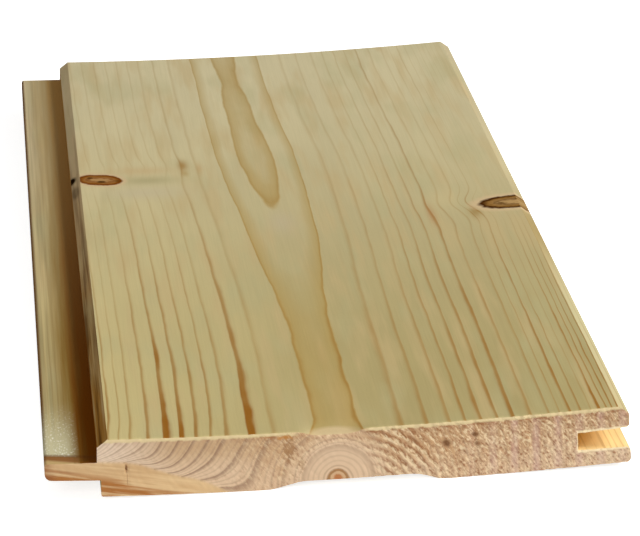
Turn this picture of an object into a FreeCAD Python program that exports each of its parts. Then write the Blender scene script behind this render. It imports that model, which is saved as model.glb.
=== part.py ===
"""A tongue and groove board: one planed and moulded piece of softwood.

Millimetres, +Z up. X runs across the board from the tongue (-X) to the groove (+X), Y runs along
the grain, and the show face with its two V-joint chamfers looks up. The origin is under the middle
of the board, on the level that its back rests on.

The section is drawn as it leaves the moulder, by the distance across and the height above the
back, and each corner is then carried to where it lies once the wood has dried and cupped: heights
become radii and distances across become arcs about a line above the board.
"""
import FreeCAD, Part
import math
import os
import Sketcher

SIZES = (
    ("board_length", 335.0, "length along the grain"),
    ("overall_width", 145.0, "tongue tip to groove lips, along the curve of the section"),
    ("board_thickness", 15.0, "back to show face"),
    ("cup_radius", 1560.0, "radius of the back's curve after drying, centre above the board"),
    ("tongue_reach", 12.8, "upper shoulder to tongue tip"),
    ("tongue_root", 4.7, "tongue thickness at the shoulders"),
    ("tongue_tip", 4.35, "tongue thickness at its tip"),
    ("joint_height", 6.65, "middle of tongue and groove above the back"),
    ("shoulder_relief", 1.0, "lower shoulder set back, so that the show faces close first"),
    ("joint_clearance", 0.1, "gap above and below the tongue at its tip, in the next board's groove"),
    ("mouth_clearance", 0.25, "the same gap at the shoulders"),
    ("end_clearance", 0.3, "gap between tongue tip and groove floor"),
    ("chamfer_width", 2.65, "V-joint chamfer, across the face"),
    ("chamfer_drop", 2.1, "V-joint chamfer, down the edge"),
    ("tongue_land", 42.5, "upper shoulder to the hollow in the back"),
    ("tongue_ramp", 7.9, "slope into the hollow on the tongue side"),
    ("hollow_floor", 29.0, "flat floor of the hollow"),
    ("groove_ramp", 5.2, "slope out of the hollow on the groove side"),
    ("hollow_depth", 1.87, "depth of the hollow"),
    ("tip_upper_round", 0.7, "rounding of the tongue tip's upper edge"),
    ("tip_lower_round", 1.7, "rounding of the tongue tip's lower edge, which enters the groove first"),
    ("lip_round", 1.1, "rounding of the three square edges of the groove lips"),
    ("back_round", 0.5, "rounding of the back's edge on the tongue side"),
    ("hollow_round", 10.0, "blend where the hollow's slopes meet floor and lands"),
)

# Distances across the flat section, from its middle, as expressions of the sizes.
TIP = "-sizes.overall_width / 2"
LIP = "sizes.overall_width / 2"
SHOULDER = f"{TIP} + sizes.tongue_reach"
LOWER_SHOULDER = f"{SHOULDER} + sizes.shoulder_relief"
HOLLOW_START = f"{SHOULDER} + sizes.tongue_land"
FLOOR_START = f"{HOLLOW_START} + sizes.tongue_ramp"
FLOOR_END = f"{FLOOR_START} + sizes.hollow_floor"
HOLLOW_END = f"{FLOOR_END} + sizes.groove_ramp"
GROOVE_FLOOR = f"{LIP} - sizes.tongue_reach - sizes.end_clearance"
CUP_MIDDLE = f"({HOLLOW_START} + {HOLLOW_END}) / 2"

# Heights above the back of the flat section.
BACK = "0"
FACE = "sizes.board_thickness"
CHAMFER_FOOT = "sizes.board_thickness - sizes.chamfer_drop"
JOINT = "sizes.joint_height"
ROOT_HALF = "sizes.tongue_root / 2"
TIP_HALF = "sizes.tongue_tip / 2"
MOUTH_HALF = f"({ROOT_HALF} + sizes.mouth_clearance)"
FLOOR_HALF = f"({TIP_HALF} + sizes.joint_clearance)"

# The corners of the section, anticlockwise from the tongue side of the back. Each has its place
# across, its height, and whether the edge that leaves it follows the curve of the cupped board.
CORNERS = (
    ("back_outer_left", LOWER_SHOULDER, BACK, True),
    ("hollow_start", HOLLOW_START, BACK, False),
    ("floor_start", FLOOR_START, "sizes.hollow_depth", True),
    ("floor_end", FLOOR_END, "sizes.hollow_depth", False),
    ("hollow_end", HOLLOW_END, BACK, True),
    ("back_outer_right", LIP, BACK, False),
    ("mouth_lower", LIP, f"{JOINT} - {MOUTH_HALF}", False),
    ("groove_lower", GROOVE_FLOOR, f"{JOINT} - {FLOOR_HALF}", False),
    ("groove_upper", GROOVE_FLOOR, f"{JOINT} + {FLOOR_HALF}", False),
    ("mouth_upper", LIP, f"{JOINT} + {MOUTH_HALF}", False),
    ("chamfer_foot_right", LIP, CHAMFER_FOOT, False),
    ("face_right", f"{LIP} - sizes.chamfer_width", FACE, True),
    ("face_left", f"{SHOULDER} + sizes.chamfer_width", FACE, False),
    ("chamfer_foot_left", SHOULDER, CHAMFER_FOOT, False),
    ("root_upper", SHOULDER, f"{JOINT} + {ROOT_HALF}", False),
    ("tip_upper", TIP, f"{JOINT} + {TIP_HALF}", False),
    ("tip_lower", TIP, f"{JOINT} - {TIP_HALF}", False),
    ("root_lower", LOWER_SHOULDER, f"{JOINT} - {ROOT_HALF}", False),
)

# How a sketch names the two ends of an edge, and the origin.
START = 1
END = 2
ORIGIN = -1

# Two points nearer than this, in millimetres, are the same corner.
SAME_PLACE = 0.001


def cup_angle(across):
    """Angle about the cup's centre line of a distance across, in degrees, as an expression."""
    return f"(({across}) - {CUP_MIDDLE}) / sizes.cup_radius * 180 deg / pi"


def cupped(across, height):
    """Where a point of the flat section lies in the cupped board, as two expressions.

    The two edges of the hollow, which carry the board, lie at height 0, and the tongue tip and
    the groove lips lie as far to each side of the origin.
    """
    tip_side = f"(sizes.cup_radius - {JOINT}) * sin({cup_angle(TIP)})"
    lip_side = f"sizes.cup_radius * sin({cup_angle(LIP)})"
    carrier = f"sizes.cup_radius * cos({cup_angle(HOLLOW_START)})"
    radius = f"(sizes.cup_radius - ({height}))"
    x = f"{radius} * sin({cup_angle(across)}) - ({tip_side} + {lip_side}) / 2"
    z = f"{carrier} - {radius} * cos({cup_angle(across)})"
    return x, z


def make_sheet(doc):
    """The spreadsheet of driving sizes, one row each, with its alias and meaning."""
    sheet = doc.addObject("Spreadsheet::Sheet", "sizes")
    for row, (name, value, meaning) in enumerate(SIZES, start=1):
        sheet.set(f"A{row}", name)
        sheet.set(f"B{row}", str(value))
        sheet.set(f"C{row}", meaning)
        sheet.setAlias(f"B{row}", name)
    doc.recompute()
    return sheet


def number(sheet, expression):
    """The value of an expression of the sheet's sizes, as a plain number."""
    result = sheet.evalExpression(expression)
    return float(getattr(result, "Value", result))


def corner_place(sheet, name):
    """Where a named corner of the section lies, as (x, z) in millimetres."""
    across, height = next(corner[1:3] for corner in CORNERS if corner[0] == name)
    return tuple(number(sheet, expression) for expression in cupped(across, height))


def draw_section(body, sheet):
    """The moulded section on the plane across the grain, with every corner bound to the sheet."""
    sketch = body.newObject("Sketcher::SketchObject", "moulded_section")
    plane = next(part for part in body.Origin.OriginFeatures if part.Role == "XZ_Plane")
    sketch.AttachmentSupport = [(plane, "")]
    sketch.MapMode = "FlatFace"
    middle = number(sheet, cupped(CUP_MIDDLE, BACK)[0])
    carrier = number(sheet, f"sizes.cup_radius * cos({cup_angle(HOLLOW_START)})")
    centre = FreeCAD.Vector(middle, carrier, 0)
    places = [FreeCAD.Vector(*corner_place(sheet, corner[0]), 0) for corner in CORNERS]

    # An arc always runs from its left end to its right end, below the line it is drawn about,
    # so the show face, which the outline follows from right to left, leaves from its second end.
    leaving = []
    arriving = []
    for index, (name, across, height, curved) in enumerate(CORNERS):
        corner = places[index]
        following = places[(index + 1) % len(places)]
        backwards = curved and following.x < corner.x
        leaving.append(END if backwards else START)
        arriving.append(START if backwards else END)
        if not curved:
            sketch.addGeometry(Part.LineSegment(corner, following), False)
            continue
        circle = Part.Circle(centre, FreeCAD.Vector(0, 0, 1), (corner - centre).Length)
        left, right = sorted((corner, following), key=lambda place: place.x)
        turns = [math.atan2(place.y - centre.y, place.x - centre.x) for place in (left, right)]
        sketch.addGeometry(Part.ArcOfCircle(circle, *turns), False)
        bind(sketch, Sketcher.Constraint("Radius", index, circle.Radius),
             f"sizes.cup_radius - ({height})")

    for index, (name, across, height, curved) in enumerate(CORNERS):
        before = index - 1 if index else len(CORNERS) - 1
        sketch.addConstraint(
            Sketcher.Constraint("Coincident", before, arriving[before], index, leaving[index]))
        x, z = cupped(across, height)
        for kind, value, expression in (("DistanceX", places[index].x, x),
                                        ("DistanceY", places[index].y, z)):
            bind(sketch, Sketcher.Constraint(kind, ORIGIN, START, index, leaving[index], value),
                 expression)
    return sketch


def bind(sketch, constraint, expression):
    """Adds a constraint whose value follows the sheet."""
    index = sketch.addConstraint(constraint)
    sketch.setExpression(f"Constraints[{index}]", expression)


def round_corners(body, sheet, label, names, size):
    """Rounds the long edges that run the board's length from the named corners of the section."""
    base = body.Tip
    places = [corner_place(sheet, name) for name in names]
    edges = []
    for place in places:
        for index, edge in enumerate(base.Shape.Edges, start=1):
            off = [max(abs(v.X - place[0]), abs(v.Z - place[1])) for v in edge.Vertexes]
            if len(off) == 2 and max(off) < SAME_PLACE:
                edges.append(f"Edge{index}")
    if len(edges) != len(names):
        raise RuntimeError(f"{label}: {len(edges)} edges found for {len(names)} corners")
    rounding = body.newObject("PartDesign::Fillet", label)
    rounding.Base = (base, edges)
    rounding.setExpression("Radius", f"sizes.{size}")
    body.Document.recompute()


def make_board(doc, sheet):
    """The whole board: its section run along the grain, then the knocked-off and blended edges."""
    body = doc.addObject("PartDesign::Body", "board")
    body.Label = "board"
    sketch = draw_section(body, sheet)
    run = body.newObject("PartDesign::Pad", "run_of_board")
    run.Profile = sketch
    run.SideType = "Symmetric"
    run.setExpression("Length", "sizes.board_length")
    doc.recompute()
    round_corners(body, sheet, "tip_upper_edge", ("tip_upper",), "tip_upper_round")
    round_corners(body, sheet, "tip_lower_edge", ("tip_lower",), "tip_lower_round")
    round_corners(body, sheet, "lip_edges", ("back_outer_right", "mouth_lower", "mouth_upper"), "lip_round")
    round_corners(body, sheet, "back_edge", ("back_outer_left",), "back_round")
    round_corners(body, sheet, "hollow_blends",
                  ("hollow_start", "floor_start", "floor_end", "hollow_end"), "hollow_round")
    return body


def check(doc, bodies):
    """Stops with a plain message if any object failed or any piece isn't one valid solid."""
    for item in doc.Objects:
        if {"Invalid", "Error"} & set(item.State):
            raise RuntimeError(f"{item.Label} failed: {item.State}")
    for body in bodies:
        shape = body.Shape
        if shape.isNull() or not shape.isValid() or len(shape.Solids) != 1:
            raise RuntimeError(f"{body.Label} is not one valid solid")


def main():
    """Builds the board and writes it as one solid."""
    doc = FreeCAD.newDocument("tongue_and_groove_board")
    sheet = make_sheet(doc)
    bodies = [make_board(doc, sheet)]
    doc.recompute()
    check(doc, bodies)
    os.makedirs("parts", exist_ok=True)
    for body in bodies:
        body.Shape.exportStep(f"parts/{body.Label}.step")
        box = body.Shape.BoundBox
        print(f"{body.Label}: {box.XMin:.3f} {box.XMax:.3f} {box.YMin:.3f} {box.YMax:.3f} "
              f"{box.ZMin:.3f} {box.ZMax:.3f} mm, volume {body.Shape.Volume / 1000:.1f} cm3")


main()
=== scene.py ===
"""Looks of a tongue and groove board: one planed piece of pine, sawn square at both ends.

The board is drawn again from its section with a fine grid on the sawn ends, so that torn fibres,
pits and broken edges are real shape. Its grain is one solid figure of growth rings about a
wandering pith, so the rings on the ends meet the lines on the faces. Sizes are in millimetres and
the scene is in metres.
"""

import logging
import math
from collections.abc import Callable, Iterator
from dataclasses import dataclass
from enum import IntEnum

import bmesh
import bpy
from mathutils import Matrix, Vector, noise


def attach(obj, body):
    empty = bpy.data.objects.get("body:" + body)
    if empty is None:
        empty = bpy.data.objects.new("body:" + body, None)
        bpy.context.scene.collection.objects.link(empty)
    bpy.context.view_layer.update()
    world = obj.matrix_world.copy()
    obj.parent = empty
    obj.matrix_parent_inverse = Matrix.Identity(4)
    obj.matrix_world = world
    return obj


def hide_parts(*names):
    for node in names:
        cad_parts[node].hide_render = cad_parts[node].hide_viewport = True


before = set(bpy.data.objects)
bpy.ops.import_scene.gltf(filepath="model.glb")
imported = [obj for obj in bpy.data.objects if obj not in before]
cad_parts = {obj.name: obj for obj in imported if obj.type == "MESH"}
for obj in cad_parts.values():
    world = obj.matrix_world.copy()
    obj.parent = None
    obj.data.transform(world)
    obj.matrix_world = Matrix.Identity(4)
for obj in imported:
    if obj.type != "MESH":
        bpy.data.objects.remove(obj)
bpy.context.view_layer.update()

LOG = logging.getLogger("board")
MM = 0.001
Socket = bpy.types.NodeSocket
Path = tuple[tuple[float, float], ...]
# A fade: two marks on what it reads, and the amounts it gives there.
Fade = tuple[float, float, float, float]
CENTRED: Fade = (0.0, 1.0, -0.5, 0.5)
# Which property of a node its mode sets.
MODES = {"Math": "operation", "VectorMath": "operation", "Mix": "data_type",
         "MapRange": "interpolation_type"}


class Surface(IntEnum):
    """The finishes of the board, in the order of its material slots."""

    PLANED = 0
    SAWN = 1
    TONGUE = 2
    GROOVE = 3
    FRESH = 4
    WORN = 5


def linear(colour: str) -> tuple[float, float, float, float]:
    """Turns an sRGB hex colour into the linear values that a shader takes.

    Args:
        colour: Six hex digits after a hash mark.

    Returns:
        Red, green, blue and an alpha of one, linear.
    """
    parts = [int(colour[i:i + 2], 16) / 255 for i in (1, 3, 5)]
    red, green, blue = (p / 12.92 if p <= 0.04045 else ((p + 0.055) / 1.055) ** 2.4 for p in parts)
    return red, green, blue, 1.0


class Graph:
    """The nodes of a material or a world, added one at a time."""

    def __init__(self, owner: bpy.types.Material | bpy.types.World) -> None:
        """Starts with no nodes in the owner's tree."""
        owner.use_nodes = True
        self.tree = owner.node_tree
        self.tree.nodes.clear()

    def add(self, kind: str, inputs: object = (), out: int | str | tuple[int, ...] = 0,
            points: Path = (), handle: str = "AUTO") -> Socket:
        """Adds a node with its settings and links.

        Args:
            kind: The node's type after ShaderNode and, after a dot, its mode.
            inputs: A socket, number, vector in a tuple or hex colour, or several of them in the
                order of the inputs that the mode uses, or by the inputs' names.
            out: Which output that the mode uses, or which outputs, to hand back.
            points: The places of a curve's points, for a curve.
            handle: Whether a curve runs smoothly (AUTO) or straight (VECTOR) between its points.

        Returns:
            The output socket, or a tuple of them.
        """
        kind, _, mode = kind.partition(".")
        node = self.tree.nodes.new("ShaderNode" + kind)
        if mode:
            setattr(node, MODES[kind], mode)
        if isinstance(inputs, dict):
            pairs = [(node.inputs[name], value) for name, value in inputs.items()]
        else:
            used = [socket for socket in node.inputs if socket.enabled]
            pairs = list(zip(used, inputs if isinstance(inputs, tuple) else (inputs,)))
        for socket, value in pairs:
            if isinstance(value, Socket):
                self.tree.links.new(value, socket)
            else:
                socket.default_value = linear(value) if isinstance(value, str) else value
        if points:
            curve = node.mapping.curves[0]
            while len(curve.points) < len(points):
                curve.points.new(0.5, 0.5)
            for point, place in zip(curve.points, points):
                point.location = place
                point.handle_type = handle
            node.mapping.update()
        if isinstance(out, str):
            return node.outputs[out]
        results = [socket for socket in node.outputs if socket.enabled]
        if isinstance(out, tuple):
            return tuple(results[index] for index in out)
        return results[out] if results else None

    def faded(self, share: Socket, *fades: tuple) -> Socket:
        """Weakens a share by fades over the board.

        Args:
            share: How strong it is before them.
            fades: For each, the socket that it reads and its Fade.

        Returns:
            What is left of the share.
        """
        for fade in fades:
            share = self.add("Math.MULTIPLY", (share, self.add("MapRange", fade)))
        return share


@dataclass(frozen=True)
class Corner:
    """A corner of the flat section: its place and its rounding."""

    across: float
    height: float
    rounding: float = 0.0


@dataclass(frozen=True)
class Section:
    """The moulded section, flat as it leaves the cutters, and the cup it takes as it dries."""

    overall_width: float = 145.0
    thickness: float = 15.0
    cup_radius: float = 1560.0
    tongue_reach: float = 12.8
    tongue_root: float = 4.7
    tongue_tip: float = 4.35
    joint_height: float = 6.65
    shoulder_relief: float = 1.0
    joint_clearance: float = 0.1
    mouth_clearance: float = 0.25
    end_clearance: float = 0.3
    chamfer_width: float = 2.65
    chamfer_drop: float = 2.1
    tongue_land: float = 42.5
    tongue_ramp: float = 7.9
    hollow_floor: float = 29.0
    groove_ramp: float = 5.2
    hollow_depth: float = 1.87
    tip_upper_round: float = 0.7
    tip_lower_round: float = 1.7
    lip_round: float = 1.1
    back_round: float = 0.5
    hollow_round: float = 10.0
    face_arris_round: float = 0.25

    @property
    def tip(self) -> float:
        """Tongue tip, across from the middle."""
        return -self.overall_width / 2

    @property
    def lip(self) -> float:
        """Groove lips, across from the middle."""
        return self.overall_width / 2

    @property
    def shoulder(self) -> float:
        """Upper shoulder of the tongue."""
        return self.tip + self.tongue_reach

    @property
    def groove_floor(self) -> float:
        """Floor of the groove."""
        return self.lip - self.tongue_reach - self.end_clearance

    @property
    def foot(self) -> float:
        """Height of the chamfers' lower edges."""
        return self.thickness - self.chamfer_drop

    @property
    def hollow(self) -> tuple[float, float, float, float]:
        """Start and end of the hollow's two slopes, from the tongue side."""
        start = self.shoulder + self.tongue_land
        floor_start = start + self.tongue_ramp
        floor_end = floor_start + self.hollow_floor
        return start, floor_start, floor_end, floor_end + self.groove_ramp

    @property
    def middle(self) -> float:
        """Where the cup is lowest, across the flat section."""
        return (self.hollow[0] + self.hollow[3]) / 2

    def corners(self) -> list[Corner]:
        """The corners of the section, anticlockwise from the tongue side of the back."""
        start, floor_start, floor_end, end = self.hollow
        lower_shoulder = self.shoulder + self.shoulder_relief
        joint = self.joint_height
        root, tip = self.tongue_root / 2, self.tongue_tip / 2
        mouth, floor = root + self.mouth_clearance, tip + self.joint_clearance
        return [
            Corner(lower_shoulder, 0.0, self.back_round),
            Corner(start, 0.0, self.hollow_round),
            Corner(floor_start, self.hollow_depth, self.hollow_round),
            Corner(floor_end, self.hollow_depth, self.hollow_round),
            Corner(end, 0.0, self.hollow_round),
            Corner(self.lip, 0.0, self.lip_round),
            Corner(self.lip, joint - mouth, self.lip_round),
            Corner(self.groove_floor, joint - floor),
            Corner(self.groove_floor, joint + floor),
            Corner(self.lip, joint + mouth, self.lip_round),
            Corner(self.lip, self.foot, self.face_arris_round),
            Corner(self.lip - self.chamfer_width, self.thickness, self.face_arris_round),
            Corner(self.shoulder + self.chamfer_width, self.thickness, self.face_arris_round),
            Corner(self.shoulder, self.foot, self.face_arris_round),
            Corner(self.shoulder, joint + root),
            Corner(self.tip, joint + tip, self.tip_upper_round),
            Corner(self.tip, joint - tip, self.tip_lower_round),
            Corner(lower_shoulder, joint - root),
        ]

    def cupped(self, across: float, height: float) -> tuple[float, float]:
        """Carries a point of the flat section to where it lies in the cupped board.

        Args:
            across: Distance across the flat section from its middle.
            height: Height above the back.

        Returns:
            x and z in the board's frame.
        """
        turn, tip_turn, lip_turn, carrier_turn = (
            (place - self.middle) / self.cup_radius
            for place in (across, self.tip, self.lip, self.hollow[0]))
        tip_side = (self.cup_radius - self.joint_height) * math.sin(tip_turn)
        lip_side = self.cup_radius * math.sin(lip_turn)
        radius = self.cup_radius - height
        x = radius * math.sin(turn) - (tip_side + lip_side) / 2
        z = self.cup_radius * math.cos(carrier_turn) - radius * math.cos(turn)
        return x, z


@dataclass(frozen=True)
class Ring:
    """One year's growth: its width, and how dark its latewood is each side of the pith, near and far."""

    width: float
    left_near: float
    left_far: float
    right_near: float
    right_far: float


@dataclass(frozen=True)
class Patch:
    """A soft-edged place: its middle, its reach and how much it changes.

    On the show face y lies along the grain. On the near end it is the height in the flat section.
    """

    x: float
    y: float
    reach_x: float
    reach_y: float
    change: float

    def on_face(self, grain: "Grain") -> Socket:
        """How near a point of the show face is: one at the middle, falling away smoothly.

        Args:
            grain: The grain's sockets.

        Returns:
            The nearness.
        """
        off = grain.g.add("VectorMath.SUBTRACT", (grain.place, (self.x, self.y, 0.0)))
        off = grain.g.add("VectorMath.MULTIPLY", (off, (1 / self.reach_x, 1 / self.reach_y, 0.0)))
        far = grain.g.add("VectorMath.DOT_PRODUCT", (off, off))
        return grain.g.add("Math.POWER", (math.exp(-1), far))

    def on_end(self, grain: "Grain") -> Socket:
        """How far a point of the near end is from the middle, as a share of the reach.

        Args:
            grain: The grain's sockets.

        Returns:
            The distance.
        """
        flat = grain.g.add("CombineXYZ", (grain.x, 0.0, grain.height))
        off = grain.g.add("VectorMath.SUBTRACT", (flat, (self.x, 0.0, self.y)))
        off = grain.g.add("VectorMath.MULTIPLY", (off, (1 / self.reach_x, 0.0, 1 / self.reach_y)))
        return grain.g.add("VectorMath.LENGTH", off)


@dataclass(frozen=True)
class Streaks:
    """Noise in the wood: how many waves to a millimetre each way, how fine, and its spread."""

    per_mm: tuple[float, float, float]
    detail: float = 2.0
    spread: Fade = (0.0, 1.0, 0.0, 1.0)

    def lay(self, grain: "Grain") -> Socket:
        """Adds the noise.

        Args:
            grain: The grain's sockets.

        Returns:
            Its amount at a point.
        """
        drawn = grain.g.add("VectorMath.MULTIPLY", (grain.place, self.per_mm))
        amount = grain.g.add("TexNoise", (drawn, 1.0, self.detail))
        return grain.g.add("MapRange", (amount, *self.spread))


@dataclass(frozen=True)
class Knot:
    """A branch cut by the show face: a lens that narrows with depth, and its colours."""

    x: float
    y: float
    half_x: float
    half_y: float
    depth: float
    slope: float
    body: str
    heart: str
    rim: str
    face_height: float = 15.0

    def lens(self, grain: "Grain") -> Socket:
        """How far out of the knot a point is, with one at its edge: between a lens and an oval.

        Args:
            grain: The grain's sockets.

        Returns:
            The distance.
        """
        g = grain.g
        off = g.add("VectorMath.SUBTRACT", (grain.place, (self.x, self.y, self.face_height)))
        axes = ((1 / self.half_x, 0.0, 0.0), (-self.slope / self.half_y, 1 / self.half_y, 0.0),
                (0.0, 0.0, 1 / self.depth))
        across, along, down = (
            g.add("Math.ABSOLUTE", g.add("VectorMath.DOT_PRODUCT", (off, axis))) for axis in axes)
        across, along = g.add("Math.POWER", (across, 3.0)), g.add("Math.POWER", (along, 1.8))
        return g.add("Math.MULTIPLY_ADD", (down, 0.5, g.add("Math.ADD", (across, along))))


RINGS = (
    Ring(2.4, 0.30, 0.30, 0.38, 0.30), Ring(6.5, 0.30, 0.24, 0.38, 0.24), Ring(5.0, 0.50, 0.22, 0.58, 0.20),
    Ring(7.1, 0.34, 0.22, 0.51, 0.16), Ring(4.8, 0.94, 0.26, 0.52, 0.18), Ring(4.8, 0.58, 0.18, 0.51, 0.17),
    Ring(3.4, 0.66, 0.17, 0.60, 0.22), Ring(3.6, 0.70, 0.18, 0.66, 0.24), Ring(3.6, 0.86, 0.16, 0.70, 0.24),
    Ring(3.9, 0.98, 0.20, 0.75, 0.36), Ring(4.1, 0.66, 0.17, 0.58, 0.17), Ring(4.1, 0.50, 0.16, 0.51, 0.15),
    Ring(2.4, 0.46, 0.12, 0.45, 0.13), Ring(2.7, 0.72, 0.16, 0.73, 0.26), Ring(2.3, 0.66, 0.12, 0.55, 0.12),
    Ring(2.3, 0.70, 0.10, 0.33, 0.10), Ring(2.0, 0.80, 0.10, 0.80, 0.10), Ring(1.5, 0.70, 0.10, 0.75, 0.08),
    Ring(1.35, 0.70, 0.10, 0.80, 0.08), Ring(1.5, 0.70, 0.10, 0.80, 0.08), Ring(1.4, 0.70, 0.10, 0.75, 0.08),
    Ring(1.4, 0.60, 0.10, 0.75, 0.08), Ring(1.4, 0.60, 0.10, 0.75, 0.08), Ring(1.4, 0.60, 0.10, 0.75, 0.08),
    Ring(1.4, 0.60, 0.10, 0.75, 0.08),
)


@dataclass(frozen=True)
class Growth:
    """How the tree grew: rings about a pith that wanders along the board, knots and a branch."""

    section: Section = Section()
    rings: tuple[Ring, ...] = RINGS
    length: float = 335.0
    # The cup is taken out as at this height above the back, near enough for all heights.
    mean_height: float = 8.0
    # Where the pith runs, as (distance from the near end, x) and (distance, z).
    pith_x: Path = ((0, -0.65), (57, -0.5), (107, -0.8), (147, -1.0), (187, -1.85), (227, -3.0),
                    (267, -4.2), (307, -4.9), (335, -5.1))
    pith_z: Path = ((0, 2.1), (27, 2.1), (67, 2.2), (87, 2.45), (107, 3.0), (127, 4.0), (147, 5.0),
                    (167, 5.7), (187, 6.6), (207, 7.4), (227, 7.8), (247, 7.4), (267, 7.1),
                    (283, 7.05), (303, 6.55), (320, 6.7), (335, 7.0))
    out_of_round: float = 0.0235
    # The fibres sway slowly and ripple, and the dark lines come and go a little along the grain.
    sway: Streaks = Streaks((1 / 20, 1 / 75, 1 / 20), 2.0, CENTRED)
    ripple: Streaks = Streaks((1 / 4, 1 / 14, 1 / 4), 2.0, CENTRED)
    ripple_reach: float = 0.6
    waver: Streaks = Streaks((1 / 5, 1 / 22, 1 / 9), 2.0, (0.3, 0.7, 0.84, 1.14))
    # Rings swell towards the pith beside a knot, and their latewood darkens or fades there.
    swells: tuple[Patch, ...] = (
        Patch(59.0, -1.0, 13.0, 7.5, 3.3), Patch(54.0, -20.0, 10.0, 7.0, -0.7),
        Patch(-38.0, 50.0, 13.0, 8.0, 1.5), Patch(-38.0, 30.0, 13.0, 9.0, -0.9))
    accents: tuple[Patch, ...] = (
        Patch(55.6, -11.0, 2.4, 8.0, 0.36), Patch(-25.6, 48.0, 3.0, 12.0, 0.22),
        Patch(-47.0, 36.0, 13.0, 9.0, -0.75), Patch(67.0, 28.0, 8.0, 42.0, -0.6),
        Patch(43.0, -8.0, 4.0, 20.0, 0.07), Patch(50.0, 4.0, 6.0, 10.0, 0.12))
    # The branch that the near end is sawn along: its half-thickness by x, about a line at branch_z.
    branch: Path = ((-75, 12.9), (-66, 12.1), (-59, 11.4), (-50, 10.3), (-45, 8.4), (-40, 6.5),
                    (-35, 5.1), (-30, 2.7), (-27, 0.6), (-22, -4.0), (-15, -12.0))
    branch_z: float = -1.0
    branch_swell: float = 9.0

    @property
    def reach(self) -> float:
        """Radius of the outermost ring."""
        return sum(ring.width for ring in self.rings)


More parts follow.
